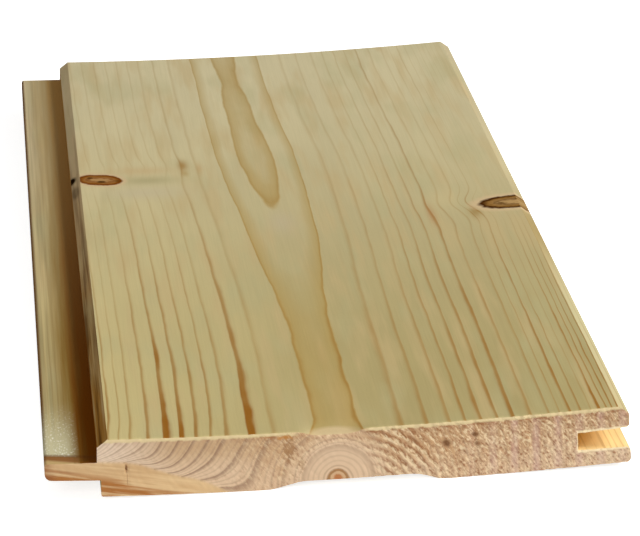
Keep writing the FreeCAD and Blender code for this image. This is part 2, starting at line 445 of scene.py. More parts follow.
@dataclass
class Grain:
    """The solid figure of the wood in a finish's graph, as sockets to draw colours from."""

    g: Graph
    growth: Growth

    def __post_init__(self) -> None:
        """Adds the nodes that work out the grain at a point of the board."""
        g = self.g
        self.place = g.add("VectorMath.SCALE", (g.add("TexCoord", out="Object"), 1 / MM))
        self.x, self.y, self.z = g.add("SeparateXYZ", self.place, out=(0, 1, 2))
        # One at the near end and none at the far end.
        self.near = g.add("MapRange.SMOOTHSTEP", (self.y, -150.0, 190.0, 1.0, 0.0))
        self.measure_height()
        self.measure_branch()
        self.measure_radius()
        self.count_rings()
        self.shade_rings()
        self.draw_latewood()

    def measure_height(self) -> None:
        """Finds the height in the flat section, with the board's cup taken out."""
        g, section = self.g, self.growth.section
        middle_x, middle_z = section.cupped(section.middle, 0.0)
        aside = g.add("Math.SUBTRACT", (self.x, middle_x))
        squared = g.add("Math.MULTIPLY", (aside, aside))
        raised = g.add("Math.SUBTRACT", (self.z, middle_z))
        bend = -0.5 / (section.cup_radius - self.growth.mean_height)
        self.height = g.add("Math.MULTIPLY_ADD", (squared, bend, raised))

    def follow(self, path: Path, place: Socket, low: float, span: float) -> Socket:
        """Reads a smooth path at a place.

        Args:
            path: Places, in order, and the path's value at each.
            place: Where to read it.
            low: The bottom of the curve that draws it.
            span: How far the curve's top is above that.

        Returns:
            The path's value there.
        """
        start, end = path[0][0], path[-1][0]
        points = tuple(((step - start) / (end - start), (value - low) / span) for step, value in path)
        share = self.g.add("MapRange", (place, start, end, 0.0, 1.0))
        curve = self.g.add("FloatCurve", {"Value": share}, points=points)
        return self.g.add("Math.MULTIPLY_ADD", (curve, span, low))

    def measure_branch(self) -> None:
        """Finds the distance outside the branch that runs out to the tongue at the near end."""
        g, growth = self.g, self.growth
        girth = self.follow(growth.branch, self.x, -20.0, 40.0)
        off = g.add("VectorMath.SUBTRACT", (self.place, (0.0, -growth.length / 2, growth.branch_z)))
        off = g.add("VectorMath.MULTIPLY", (off, (0.0, 1.0, 1.0)))
        self.branch = g.add("Math.SUBTRACT", (g.add("VectorMath.LENGTH", off), girth))

    def measure_radius(self) -> None:
        """Finds the distance from the pith, out of round, swaying, and bent by knots and branch."""
        g, growth = self.g, self.growth
        inward = g.add("Math.ADD", (self.y, growth.length / 2))
        self.across, raised = (
            g.add("Math.SUBTRACT", (place, self.follow(path, inward, low, 20.0)))
            for place, path, low in ((self.x, growth.pith_x, -10.0), (self.z, growth.pith_z, 0.0)))
        radius = g.add("VectorMath.LENGTH", g.add("CombineXYZ", (self.across, raised)))
        radius = g.add("Math.MULTIPLY_ADD", (self.across, -growth.out_of_round, radius))
        # The sway is up to half a millimetre far from the pith, and a tenth of one near it.
        give = g.add("MapRange", (radius, 9.0, 26.0, 0.3, 1.5))
        radius = g.add("Math.MULTIPLY_ADD", (growth.sway.lay(self), give, radius))
        radius = g.add("Math.MULTIPLY_ADD", (growth.ripple.lay(self), growth.ripple_reach, radius))
        for swell in growth.swells:
            radius = g.add("Math.MULTIPLY_ADD", (swell.on_face(self), swell.change, radius))
        outside = g.add("Math.MAXIMUM", (self.branch, 0.0))
        reach = g.add("MapRange", (self.x, -48.0, -28.0, 2.5, 5.2))
        swell = g.add("Math.POWER", (math.exp(-1), g.add("Math.DIVIDE", (outside, reach))))
        self.radius = g.add("Math.MULTIPLY_ADD", (swell, -growth.branch_swell, radius))

    def count_rings(self) -> None:
        """Turns the radius into the tree's age, with one step of a curve for each ring."""
        g, rings, reach = self.g, self.growth.rings, self.growth.reach
        edges, total = [(0.0, 0.0)], 0.0
        for number, ring in enumerate(rings, start=1):
            total += ring.width
            edges.append((total / reach, number / len(rings)))
        share = g.add("Math.MULTIPLY", (self.radius, 1 / reach))
        age = g.add("FloatCurve", {"Value": share}, points=tuple(edges), handle="VECTOR")
        self.age = g.add("Math.MULTIPLY", (age, float(len(rings))))
        self.phase = g.add("Math.FRACT", self.age)

    def shade_rings(self) -> None:
        """Finds how dark a ring's latewood is: less away from the near end, sooner on the left."""
        g, rings = self.g, self.growth.rings
        year = g.add("Math.ADD", (g.add("Math.FLOOR", self.age), 0.5))
        year = g.add("Math.DIVIDE", (year, float(len(rings))))
        sides = []
        for side, end, power in (("left", 60.0, 1.35), ("right", 110.0, 1.3)):
            tones = []
            for place in ("far", "near"):
                points = tuple(((index + 0.5) / len(rings), getattr(ring, f"{side}_{place}"))
                               for index, ring in enumerate(rings))
                tones.append(g.add("FloatCurve", {"Value": year}, points=points, handle="VECTOR"))
            near = g.add("Math.POWER", (g.add("MapRange", (self.y, -175.0, end, 1.0, 0.0)), power))
            sides.append(g.add("Mix", (near, *tones)))
        right = g.add("MapRange", (self.across, -3.0, 3.0, 0.0, 1.0))
        tone = g.add("Mix", (right, *sides))
        for accent in self.growth.accents:
            tone = g.add("Math.MULTIPLY_ADD", (accent.on_face(self), accent.change, tone))
        tone = g.add("Math.MAXIMUM", (tone, 0.0))
        self.tone = g.add("Math.MULTIPLY", (tone, self.growth.waver.lay(self)))

    def draw_latewood(self) -> None:
        """Darkens the wood slowly through the end of each ring, up to a hard line."""
        g = self.g
        # In the first rings the latewood is no more than a thin line.
        span = g.add("MapRange", (self.radius, 13.9, 14.2, 3.0, 1.0))
        left_over = g.add("Math.SUBTRACT", (self.phase, 1.0))
        phase = g.add("Math.MULTIPLY_ADD", (left_over, span, 1.0))
        # The darker it is, the wider.
        squared = g.add("Math.MULTIPLY", (self.tone, self.tone))
        start, full, core = (g.add("Math.MULTIPLY_ADD", (squared, -widening, place))
                             for widening, place in ((0.52, 0.78), (0.28, 0.95), (0.42, 0.85)))
        packed = g.add("Math.ADD", (core, 0.17))
        rise = g.add("Math.ADD", (g.add("MapRange.SMOOTHSTEP", (phase, start, full, 0.0, 0.5)),
                                  g.add("MapRange.SMOOTHSTEP", (phase, core, packed, 0.0, 0.5))))
        self.latewood = g.faded(rise, (phase, 0.92, 1.0, 1.0, 0.0))


@dataclass
class SawnGrain(Grain):
    """The grain on a sawn end, with the fibres that the saw tore."""

    arc_spacing: float = 2.0

    def __post_init__(self) -> None:
        """Adds the nodes of the torn fibres to those of the grain."""
        super().__post_init__()
        g = self.g
        self.drift = g.add("TexNoise", (self.place, 0.22, 2.0))
        # Strokes two millimetres long and a third of one wide, slanting as the saw went. Real torn
        # fibres are finer still and would not show.
        stroke = g.add("CombineXYZ", (
            g.add("VectorMath.DOT_PRODUCT", (self.place, (0.45, 0.0, -0.60))), self.y,
            g.add("VectorMath.DOT_PRODUCT", (self.place, (1.76, 0.0, 1.32)))))
        speck = g.add("Math.SUBTRACT", (g.add("TexNoise", (self.place, 1.7, 3.0)), 0.5))
        speck = g.faded(speck, (self.x, 16.0, 36.0, 0.15, 0.60))
        self.torn = g.add("Math.ADD", (g.add("TexNoise", (stroke, 1.0, 4.0, 0.6)), speck))
        # The saw was rough right of the heart, less so left of it, and left the heart clean.
        rough = g.add("Math.MAXIMUM", (g.add("MapRange", (self.x, 6.0, 12.0, 0.12, 1.0)),
                                       g.add("MapRange", (self.x, -34.0, -12.0, 0.12, 0.6))))
        self.rough = g.faded(rough, (self.radius, 7.5, 10.0, 0.0, 1.0))
        # Beside the heart the strokes lie in arcs.
        arc = g.add("VectorMath.SUBTRACT", (self.place, (2.0, 0.0, -9.0)))
        arc = g.add("VectorMath.LENGTH", g.add("VectorMath.MULTIPLY", (arc, (1.0, 0.0, 1.0))))
        arc = g.add("Math.MULTIPLY_ADD", (self.torn, 1.6, arc))
        arc = g.add("Math.SINE", g.add("Math.MULTIPLY", (arc, 2 * math.pi / self.arc_spacing)))
        arc = g.faded(arc, (self.radius, 18.0, 29.0, 0.14, 0.015), (self.x, 5.0, 9.0, 0.15, 1.0))
        self.strokes = g.add("Math.ADD", (self.torn, arc))


@dataclass(frozen=True)
class Pine:
    """Bare pine with no film of finish. Each way of cutting it gives it a surface of its own."""

    growth: Growth
    name: str = "pine"
    roughness: float = 0.6
    shine: float = 0.0
    bump_strength: float = 0.35
    bump_depth: float = 0.04

    def lay_grain(self, g: Graph) -> Grain:
        """Lays the grain that this finish shows."""
        return Grain(g, self.growth)

    def surface(self, grain: Grain) -> tuple[Socket, Socket]:
        """The colour and the relief, which each finish has of its own.

        Args:
            grain: The grain's sockets.

        Returns:
            The colour and the relief.
        """
        raise NotImplementedError

    def material(self) -> bpy.types.Material:
        """Makes the finish's material.

        Returns:
            The material.
        """
        material = bpy.data.materials.new(self.name)
        g = Graph(material)
        colour, relief = self.surface(self.lay_grain(g))
        bump = g.add("Bump", {"Strength": self.bump_strength, "Distance": self.bump_depth * MM,
                              "Height": relief})
        shader = g.add("BsdfPrincipled", {"Base Color": colour, "Normal": bump,
                                          "Roughness": self.roughness, "Specular IOR Level": self.shine})
        g.add("OutputMaterial", shader)
        return material


@dataclass(frozen=True)
class PlanedPine(Pine):
    """Pine from the planer: the sharp cutter leaves silky pale earlywood between soft tan lines."""

    name: str = "planed_pine"
    earlywood_left: str = "#C8B781"
    earlywood_right: str = "#AD9D6C"
    earlywood_far: str = "#D3C69E"
    line_pale: str = "#A07A3C"
    line_dark: str = "#905A1C"
    line_strength: float = 1.0
    amber: str = "#AE8E4A"
    blush: str = "#C4AC7C"
    cool: str = "#B4AE82"
    halo: str = "#D2B68C"
    bark: str = "#432606"
    end_grain: str = "#D6BC94"
    # Drift of tone, with warm and cool places, one or two centimetres wide and a few long.
    drift: Streaks = Streaks((1 / 14, 1 / 60, 1 / 14), 3.0, (0.3, 0.7, 0.965, 1.035))
    blushes: Streaks = Streaks((1 / 5, 1 / 45, 1 / 5), 2.0, (0.48, 0.68, 0.0, 0.5))
    cools: Streaks = Streaks((1 / 9, 1 / 38, 1 / 9), 2.0, (0.50, 0.70, 0.0, 0.34))
    # Fibres a third of a millimetre wide, ten times as coarse as real ones, so that they show.
    fibres: Streaks = Streaks((2.6, 1 / 26, 2.6), 3.0, (0.3, 0.7, 0.975, 1.025))
    ridges: Streaks = Streaks((3.5, 1 / 12, 3.5), 4.0)
    ragged: Streaks = Streaks((0.55, 0.8, 0.8), 4.0, CENTRED)
    # How amber the first rings are, by the radius as a share of young_reach.
    young_reach: float = 20.0
    young_amber: Path = ((0.0, 0.5), (0.33, 0.15), (0.37, 0.3), (0.395, 0.7), (0.44, 1.0), (0.45, 0.0),
                         (0.57, 0.0), (0.63, 0.45), (0.67, 0.7), (0.69, 1.0), (0.70, 0.0), (1.0, 0.0))
    # Over the heart the near arris is worn, and end grain shows.
    worn_arris: Patch = Patch(-1.5, -167.5, 6.2, 3.2, 0.6)
    # Soft stains in the wood: where and how strong, and their colour.
    stains: tuple[tuple[Patch, str], ...] = (
        (Patch(-36.5, 36.5, 8.5, 4.0, 0.7), "#ABA074"), (Patch(-38.0, 25.0, 11.0, 6.0, 0.45), "#C2B496"),
        (Patch(-38.0, 46.0, 10.0, 4.0, 0.5), "#C6A878"), (Patch(-25.2, 50.0, 1.5, 5.0, 0.75), "#A0783A"),
        (Patch(-25.0, 42.0, 1.2, 3.0, 0.5), "#A88848"), (Patch(-20.4, 46.0, 1.0, 6.0, 0.35), "#B88A50"),
        (Patch(0.0, -8.0, 4.0, 10.0, 0.3), "#BFB19A"), (Patch(48.0, 3.0, 5.0, 8.0, 0.4), "#CDBB8A"),
        (Patch(55.6, -11.0, 1.7, 5.0, 0.6), "#94702E"), (Patch(43.0, -10.0, 1.2, 9.0, 0.45), "#AE7C4C"),
    )
    knots: tuple[Knot, ...] = (
        Knot(-50.7, 38.3, 6.5, 4.9, 12.0, -0.15, "#925E28", "#B08654", "#743E10"),
        Knot(70.5, -5.0, 12.8, 5.6, 16.0, 0.0, "#8E6632", "#B4905C", "#46260A"),
    )
    # Dark flecks of bark and resin in and beside the knots.
    flecks: tuple[Patch, ...] = (Patch(-50.3, 36.5, 1.5, 1.2, 0.85), Patch(-53.6, 40.4, 1.0, 1.0, 0.7),
                                 Patch(-45.6, 37.0, 0.9, 1.0, 0.5))

    def surface(self, grain: Grain) -> tuple[Socket, Socket]:
        """The colour with its knots, and fine ridges that stand up in the latewood.

        Args:
            grain: The grain's sockets.

        Returns:
            The colour and the relief.
        """
        relief = grain.g.add("Math.MULTIPLY_ADD", (grain.latewood, 0.5, self.ridges.lay(grain)))
        return self.knotted(grain, self.wood(grain)), relief

    def earlywood(self, grain: Grain) -> Socket:
        """The ground between the lines, paler away from the near end, partly in tone and partly as painted
        light where the lamps' light falls off, with amber first rings.

        Args:
            grain: The grain's sockets.

        Returns:
            A colour.
        """
        g = grain.g
        across = g.add("MapRange", (grain.x, -60.0, 10.0, 0.0, 1.0))
        early = g.add("Mix.RGBA", (across, self.earlywood_left, self.earlywood_right))
        # Paler away from the near end: partly the wood's tone, and partly painted light making up for the
        # lamps' fall-off there.
        early = g.add("Mix.RGBA", (grain.near, self.earlywood_far, early))
        early = g.add("VectorMath.SCALE", (early, self.drift.lay(grain)))
        early = g.add("Mix.RGBA", (self.blushes.lay(grain), early, self.blush))
        early = g.add("Mix.RGBA", (self.cools.lay(grain), early, self.cool))
        young = g.add("Math.DIVIDE", (grain.radius, self.young_reach))
        young = g.add("FloatCurve", {"Value": young}, points=self.young_amber, handle="VECTOR")
        young = g.faded(young, (grain.near, 0.0, 1.0, 0.6, 0.78))
        return g.add("Mix.RGBA", (young, early, self.amber))

    def wood(self, grain: Grain) -> Socket:
        """The wood's colour on a face along the grain.

        Args:
            grain: The grain's sockets.

        Returns:
            A colour.
        """
        g = grain.g
        deep = g.add("Math.MULTIPLY", (grain.tone, grain.tone))
        line = g.add("Mix.RGBA", (deep, self.line_pale, self.line_dark))
        share = g.add("Math.MULTIPLY_ADD", (grain.tone, 1.05, 0.09))
        share = g.add("Math.MULTIPLY", (share, grain.latewood))
        share = g.add("Math.MULTIPLY", (share, self.line_strength))
        wood = g.add("Mix.RGBA", (share, self.earlywood(grain), line))
        wood = g.add("VectorMath.SCALE", (wood, self.fibres.lay(grain)))
        worn = g.add("MapRange", (self.worn_arris.on_face(grain), 0.22, 0.55, 0.0, self.worn_arris.change))
        return g.add("Mix.RGBA", (worn, wood, self.end_grain))

    def knotted(self, grain: Grain, wood: Socket) -> Socket:
        """Lays the stains, the knots with the pale wood round them, and the flecks over the wood.

        Args:
            grain: The grain's sockets.
            wood: The wood's colour.

        Returns:
            The colour with its knots.
        """
        g = grain.g
        for patch, colour in self.stains:
            stain = g.add("Math.MULTIPLY", (patch.on_face(grain), patch.change))
            wood = g.add("Mix.RGBA", (stain, wood, colour))
        ragged = self.ragged.lay(grain)
        for knot in self.knots:
            lens = g.add("Math.MULTIPLY_ADD", (ragged, 0.55, knot.lens(grain)))
            halo = g.add("MapRange.SMOOTHSTEP", (lens, 2.5, 1.1, 0.0, 0.85))
            wood = g.add("Mix.RGBA", (halo, wood, self.halo))
            heart = g.add("MapRange", (lens, 0.05, 0.5, 1.0, 0.0))
            body = g.add("Mix.RGBA", (heart, knot.body, knot.heart))
            # Dark at its edge, and along one ring of its own.
            ring = g.add("Math.ABSOLUTE", g.add("Math.SUBTRACT", (lens, 0.26)))
            dark = g.add("Math.MAXIMUM", (g.add("MapRange", (lens, 0.50, 0.82, 0.0, 1.0)),
                                          g.add("MapRange", (ring, 0.0, 0.14, 0.7, 0.0))))
            body = g.add("Mix.RGBA", (dark, body, knot.rim))
            inside = g.add("MapRange", (lens, 0.94, 1.26, 1.0, 0.0))
            wood = g.add("Mix.RGBA", (inside, wood, body))
        for fleck in self.flecks:
            spot = g.add("MapRange", (fleck.on_face(grain), 0.25, 0.7, 0.0, fleck.change))
            wood = g.add("Mix.RGBA", (spot, wood, self.bark))
        return wood


@dataclass(frozen=True)
class MouldedPine(PlanedPine):
    """Pine on the tongue, browned towards the shoulder in soft streaks by painted shade of the shoulder's
    shadow.
    """

    name: str = "moulded_pine"
    earlywood_left: str = "#B2A06E"
    earlywood_far: str = "#C6B48E"
    line_strength: float = 0.35
    # Painted shade of the shoulder's shadow, in two steps, near and far: a half shade, then a deep brown
    # shade by the shoulder.
    shoulder_half_shade: str = "#846426"
    shoulder_half_shade_far: str = "#B0986A"
    shoulder_half_shade_reach: Fade = (-68.5, -61.5, 0.0, 0.95)
    shoulder_shade: str = "#773F0A"
    shoulder_shade_far: str = "#BA9052"
    shoulder_shade_reach: Fade = (-63.5, -58.5, 0.0, 0.97)
    # Painted shade for the rounded outer edge of the tongue.
    edge: str = "#6E4622"
    fuzz: str = "#CCC6A2"
    # Specks of resin, painted bright as glints.
    speck: str = "#F4F0DC"
    limb: str = "#BEA06C"
    limb_inner: str = "#8E6138"
    limb_bark: str = "#6A3E1C"
    # Streaks a millimetre or so wide that run on for several centimetres, and fine bright specks of resin
    # painted as glints.
    streaks: Streaks = Streaks((0.7, 1 / 60, 0.7), 3.0)
    streak_shift: float = 5.0
    sheen: Streaks = Streaks((1.1, 1 / 80, 1.1), 2.0, (0.32, 0.68, 0.78, 1.14))
    resin_glints: Streaks = Streaks((2.0, 0.9, 2.0), 3.0, (0.55, 0.70, 0.0, 1.0))

    def wood(self, grain: Grain) -> Socket:
        """The wood's colour on the tongue.

        Args:
            grain: The grain's sockets.

        Returns:
            A colour.
        """
        g = grain.g
        wood = g.add("VectorMath.SCALE", (PlanedPine.wood(self, grain), self.sheen.lay(grain)))
        place = g.add("Math.MULTIPLY_ADD", (self.streaks.lay(grain), self.streak_shift, grain.x))
        # Painted shade: the shoulder's shadow, a half shade and then a deep shade towards the shoulder,
        # fainter away from the near end.
        for reach, far, near in ((self.shoulder_half_shade_reach, self.shoulder_half_shade_far, self.shoulder_half_shade),
                                 (self.shoulder_shade_reach, self.shoulder_shade_far, self.shoulder_shade)):
            shaded = g.add("MapRange.SMOOTHSTEP", (place, *reach))
            shaded = g.faded(shaded, (grain.height, 5.0, 7.0, 0.0, 1.0))
            wood = g.add("Mix.RGBA", (shaded, wood, g.add("Mix.RGBA", (grain.near, far, near))))
        # Painted shade along the rounded outer edge of the tongue, which faces away from the right-hand
        # lamp.
        edge = g.add("MapRange", (grain.x, -71.95, -71.35, 0.85, 0.0))
        return self.beside_end(grain, shaded, g.add("Mix.RGBA", (edge, wood, self.edge)))

    def beside_end(self, grain: Grain, shaded: Socket, wood: Socket) -> Socket:
        """Adds the lifted fibres beside the near end, and the branch there, edged with bark.

        Args:
            grain: The grain's sockets.
            shaded: How deep the painted shade of the shoulder's shadow lies there.
            wood: The wood's colour.

        Returns:
            The colour with them.
        """
        g = grain.g
        lifted = g.add("MapRange.SMOOTHSTEP", (grain.y, -160.0, -124.0, 0.75, 0.0))
        lifted = g.faded(lifted, (grain.x, -66.5, -63.5, 1.0, 0.0), (grain.branch, -0.1, 0.2, 0.0, 1.0))
        wood = g.add("Mix.RGBA", (lifted, wood, self.fuzz))
        # Specks of resin among the lifted fibres, painted bright as glints.
        speck = g.add("Math.MULTIPLY", (self.resin_glints.lay(grain), lifted))
        wood = g.add("Mix.RGBA", (speck, wood, self.speck))
        limb = g.add("MapRange", (grain.branch, -0.1, 0.2, 1.0, 0.0))
        # The branch shows less under the painted shade.
        limb = g.faded(limb, (shaded, 0.15, 0.5, 1.0, 0.05))
        # Brown inside, and tan by the arris.
        inner = g.add("Math.MULTIPLY_ADD", (grain.x, 0.3, grain.y))
        inner = g.add("MapRange", (inner, -187.1, -185.6, 0.0, 1.0))
        inner = g.add("Mix.RGBA", (inner, self.limb, self.limb_inner))
        wood = g.add("Mix.RGBA", (limb, wood, inner))
        bark = g.add("Math.ABSOLUTE", g.add("Math.SUBTRACT", (grain.branch, 0.25)))
        bark = g.add("MapRange", (bark, 0.1, 0.5, 0.6, 0.0))
        return g.add("Mix.RGBA", (bark, wood, self.limb_bark))


@dataclass(frozen=True)
class ShadedChamferPine(PlanedPine):
    """Pine on the tongue side's chamfer: painted shade browns it towards the near end, where dark streaks
    run along it.
    """

    name: str = "shaded_chamfer_pine"
    # Painted shade: the chamfer faces away from the right-hand lamp, and its wood is coloured darker than
    # the face's, most at the near end.
    earlywood_left: str = "#9A6C2E"
    earlywood_far: str = "#DCC69C"
    line_strength: float = 0.6
    streak_dark: str = "#4E2A08"
    streak_pale: str = "#C4B084"
    bark: str = "#1E1002"
    streaks: Streaks = Streaks((0.9, 1 / 55, 0.9), 3.0)
    knots: tuple[Knot, ...] = ()
    stains: tuple[tuple[Patch, str], ...] = ()
    # The knot beside the chamfer breaks out in it as a spot of black bark.
    flecks: tuple[Patch, ...] = (Patch(-59.1, 42.5, 1.5, 3.4, 1.0), Patch(-58.3, 30.0, 1.3, 6.0, 0.45))

    def wood(self, grain: Grain) -> Socket:
        """The wood's colour on the chamfer, with its painted shade.

        Args:
            grain: The grain's sockets.

        Returns:
            A colour.
        """
        g, streak = grain.g, self.streaks.lay(grain)
        dark = g.add("Math.MULTIPLY", (g.add("MapRange", (streak, 0.46, 0.62, 0.0, 0.75)), grain.near))
        wood = g.add("Mix.RGBA", (dark, PlanedPine.wood(self, grain), self.streak_dark))
        pale = g.add("MapRange", (streak, 0.44, 0.32, 0.0, 0.4))
        return g.add("Mix.RGBA", (pale, wood, self.streak_pale))


@dataclass(frozen=True)
class LitGroovePine(PlanedPine):
    """Pine in the groove: a clear yellow, made brighter and warmer by painted light for the light that
    bounces between its cheeks.
    """

    name: str = "lit_groove_pine"
    # Painted light: paler and warmer than the face's wood, for light bounced about inside the groove.
    earlywood_left: str = "#FFD88E"
    earlywood_right: str = "#F8D89A"
    earlywood_far: str = "#EED098"
    line_strength: float = 0.35
    stains: tuple[tuple[Patch, str], ...] = ()


@dataclass(frozen=True)
class FreshPine(PlanedPine):
    """Pine on the groove side's chamfer: planed last of all, so it is paler and its knot duller."""

    name: str = "fresh_pine"
    earlywood_left: str = "#C0B48A"
    earlywood_right: str = "#C0B48A"
    earlywood_far: str = "#BEB08C"
    line_strength: float = 0.5
    knots: tuple[Knot, ...] = (
        Knot(70.5, -5.0, 12.8, 5.6, 16.0, 0.0, "#A08050", "#A88858", "#74542A"),)
    stains: tuple[tuple[Patch, str], ...] = ((Patch(71.0, -28.0, 30.0, 34.0, 0.7), "#9C8450"),)


@dataclass(frozen=True)
class SawnPine(Pine):
    """Pine sawn across the grain: open cells make it dull and pinkish, rougher where fibres tore."""

    name: str = "sawn_pine"
    roughness: float = 0.75
    shine: float = 0.5
    bump_strength: float = 0.7
    bump_depth: float = 0.3
    pits: tuple[Patch, ...] = ()
    earlywood: str = "#D4B694"
    earlywood_upper_tone_and_shade: str = "#BE9C74"
    earlywood_torn: str = "#BE966A"
    earlywood_pale: str = "#DEC8B0"
    latewood: str = "#8E6E54"
    latewood_pink: str = "#C4A099"
    fleck_dark: str = "#8A5426"
    fleck_pale: str = "#EAD2A8"
    fringe: str = "#D4BE8E"
    mouth_rim: str = "#F2DEB2"
    pit: str = "#74461A"
    pith: str = "#AC6428"
    inner_disc: str = "#C49C6E"
    first_ring: str = "#92622A"
    branch_wood: str = "#D8B888"
    branch_streak: str = "#A4682A"
    tip: str = "#8A5020"
    false_ring_spacing: float = 1.35
    band_spacing: float = 5.4
    first_ring_radius: float = 1.75
    # Fibres torn out in small patches, and their colour.
    scars: tuple[tuple[Patch, str], ...] = (
        (Patch(-12.6, 10.4, 1.6, 3.2, 0.5), "#8E6232"), (Patch(-13.6, 13.7, 2.2, 0.5, 0.8), "#B87C34"),
        (Patch(-17.5, 13.9, 1.6, 0.4, 0.6), "#A87038"), (Patch(-9.4, 6.6, 0.8, 1.6, 0.4), "#96703E"),
    )

    def lay_grain(self, g: Graph) -> SawnGrain:
        """Lays the grain with its torn fibres."""
        return SawnGrain(g, self.growth)

    def surface(self, grain: SawnGrain) -> tuple[Socket, Socket]:
        """The colour of the end, and torn fibres that stand out of it.

        Args:
            grain: The end's sockets.

        Returns:
            The colour and the relief.
        """
        wood = self.ground(grain)
        for lay in (self.ringed, self.torn, self.hearted, self.branched, self.edged, self.scarred):
            wood = lay(grain, wood)
        return wood, grain.g.add("Math.MULTIPLY", (grain.strokes, grain.rough))

    def ground(self, grain: SawnGrain) -> Socket:
        """The ground colour: pale at the left, deeper under the face, partly as painted shade, and where it
        is torn.

        Args:
            grain: The end's sockets.

        Returns:
            A colour.
        """
        g = grain.g
        # Deeper towards the face: partly the wood's tone and partly painted shade, with the lower part paler
        # as in the floor's light thrown up onto it.
        upper = g.add("MapRange.SMOOTHSTEP", (grain.height, 5.0, 13.0, 0.0, 1.0))
        upper = g.faded(upper, (grain.radius, 9.0, 16.0, 0.0, 1.0), (grain.x, -56.0, -44.0, 0.3, 1.0))
        wood = g.add("Mix.RGBA", (upper, self.earlywood, self.earlywood_upper_tone_and_shade))
        left = g.add("MapRange", (grain.x, -56.0, -40.0, 0.7, 0.0))
        wood = g.add("Mix.RGBA", (left, wood, self.earlywood_pale))
        middle = g.add("MapRange", (grain.x, -26.0, -14.0, 0.0, 1.0))
        middle = g.faded(middle, (grain.radius, 9.0, 14.0, 0.0, 1.0))
        right = g.add("MapRange", (grain.x, 8.0, 16.0, 0.0, 1.0))
        deeper = g.faded(g.add("Math.MAXIMUM", (right, middle)), (grain.drift, 0.35, 0.65, 0.35, 1.0),
                         (grain.height, 2.0, 7.0, 0.45, 1.0), (grain.x, 40.0, 56.0, 1.0, 0.55))
        return g.add("Mix.RGBA", (deeper, wood, self.earlywood_torn))

    def ringed(self, grain: SawnGrain, wood: Socket) -> Socket:
        """Lays the rings over the end, and fainter false rings between them.

        Args:
            grain: The end's sockets.
            wood: The colour so far.

        Returns:
            The colour with its rings.
        """
        g = grain.g
        sway = g.add("Math.MULTIPLY", (grain.torn, grain.rough))
        sway = g.add("Math.MULTIPLY_ADD", (sway, 2.4, grain.radius))
        false = g.add("Math.MULTIPLY", (sway, 2 * math.pi / self.false_ring_spacing))
        false = g.add("Math.MAXIMUM", (g.add("Math.SINE", false), 0.0))
        uneven = g.add("TexNoise", (g.add("CombineXYZ", grain.radius), 0.55, 2.0))
        false = g.faded(false, (uneven, 0.36, 0.62, 0.10, 0.40))
        # A saw leaves only the densest part of the latewood showing.
        dense = g.add("MapRange.SMOOTHSTEP", (grain.phase, 0.66, 0.92, 0.0, 1.0))
        dense = g.faded(dense, (grain.phase, 0.94, 1.0, 1.0, 0.0), (grain.rough, 0.2, 1.0, 0.80, 0.15),
                        (grain.x, -60.0, -44.0, 0.4, 1.0), (grain.radius, 8.0, 15.0, 0.45, 1.0))
        return g.add("Mix.RGBA", (g.add("Math.MAXIMUM", (dense, false)), wood, self.latewood))

    def torn(self, grain: SawnGrain, wood: Socket) -> Socket:
        """Lays the dark and pale strokes of torn fibre, and faint upright bands at the right.

        Args:
            grain: The end's sockets.
            wood: The colour so far.

        Returns:
            The colour with them.
        """
        g = grain.g
        for fade, colour in (((0.54, 0.68, 0.0, 0.75), self.fleck_dark),
                             ((0.47, 0.36, 0.0, 0.72), self.fleck_pale)):
            share = g.faded(grain.rough, (grain.strokes, *fade))
            wood = g.add("Mix.RGBA", (share, wood, colour))
        band = g.add("Math.COSINE", g.add("Math.MULTIPLY", (grain.x, 2 * math.pi / self.band_spacing)))
        band = g.faded(band, (grain.x, 30.0, 40.0, 0.0, 0.32), (grain.drift, 0.4, 0.6, 0.5, 1.2))
        band = g.add("Math.MAXIMUM", (band, 0.0))
        return g.add("Mix.RGBA", (band, wood, self.latewood_pink))

    def hearted(self, grain: SawnGrain, wood: Socket) -> Socket:
        """Lays the pith and its orange-brown first ring.

        Args:
            grain: The end's sockets.
            wood: The colour so far.

        Returns:
            The colour with them.
        """
        g = grain.g
        first = g.add("Math.ABSOLUTE", g.add("Math.SUBTRACT", (grain.radius, self.first_ring_radius)))
        first = g.add("Math.MULTIPLY_ADD", (grain.strokes, 0.6, first))
        heart = g.add("Math.ADD", (grain.strokes, grain.radius))
        for fade, colour in (((grain.radius, 1.5, 2.1, 0.7, 0.0), self.inner_disc),
                             ((first, 0.5, 0.85, 0.8, 0.0), self.first_ring),
                             ((heart, 0.75, 1.3, 0.85, 0.0), self.pith)):
            wood = g.add("Mix.RGBA", (g.add("MapRange", fade), wood, colour))
        return wood

    def branched(self, grain: SawnGrain, wood: Socket) -> Socket:
        """Lays the branch, sawn lengthwise: its own streaks, and dark stains towards its tip.

        Args:
            grain: The end's sockets.
            wood: The colour so far.

        Returns:
            The colour with it.
        """
        g = grain.g
        # Its streaks slope down to the right, one in six.
        slant = g.add("Math.MULTIPLY_ADD", (grain.x, 0.16, grain.height))
        streak = g.add("CombineXYZ", (g.add("Math.MULTIPLY", (grain.x, 1 / 16)), 0.0, slant))
        streak = g.add("TexNoise", (streak, 0.9, 4.0))
        streak = g.add("MapRange", (streak, 0.36, 0.54, 0.1, 1.0))
        streak = g.faded(streak, (slant, -5.6, -3.4, 1.0, 0.34), (grain.x, -46.0, -34.0, 1.0, 0.25))
        limb = g.add("Mix.RGBA", (streak, self.branch_wood, self.branch_streak))
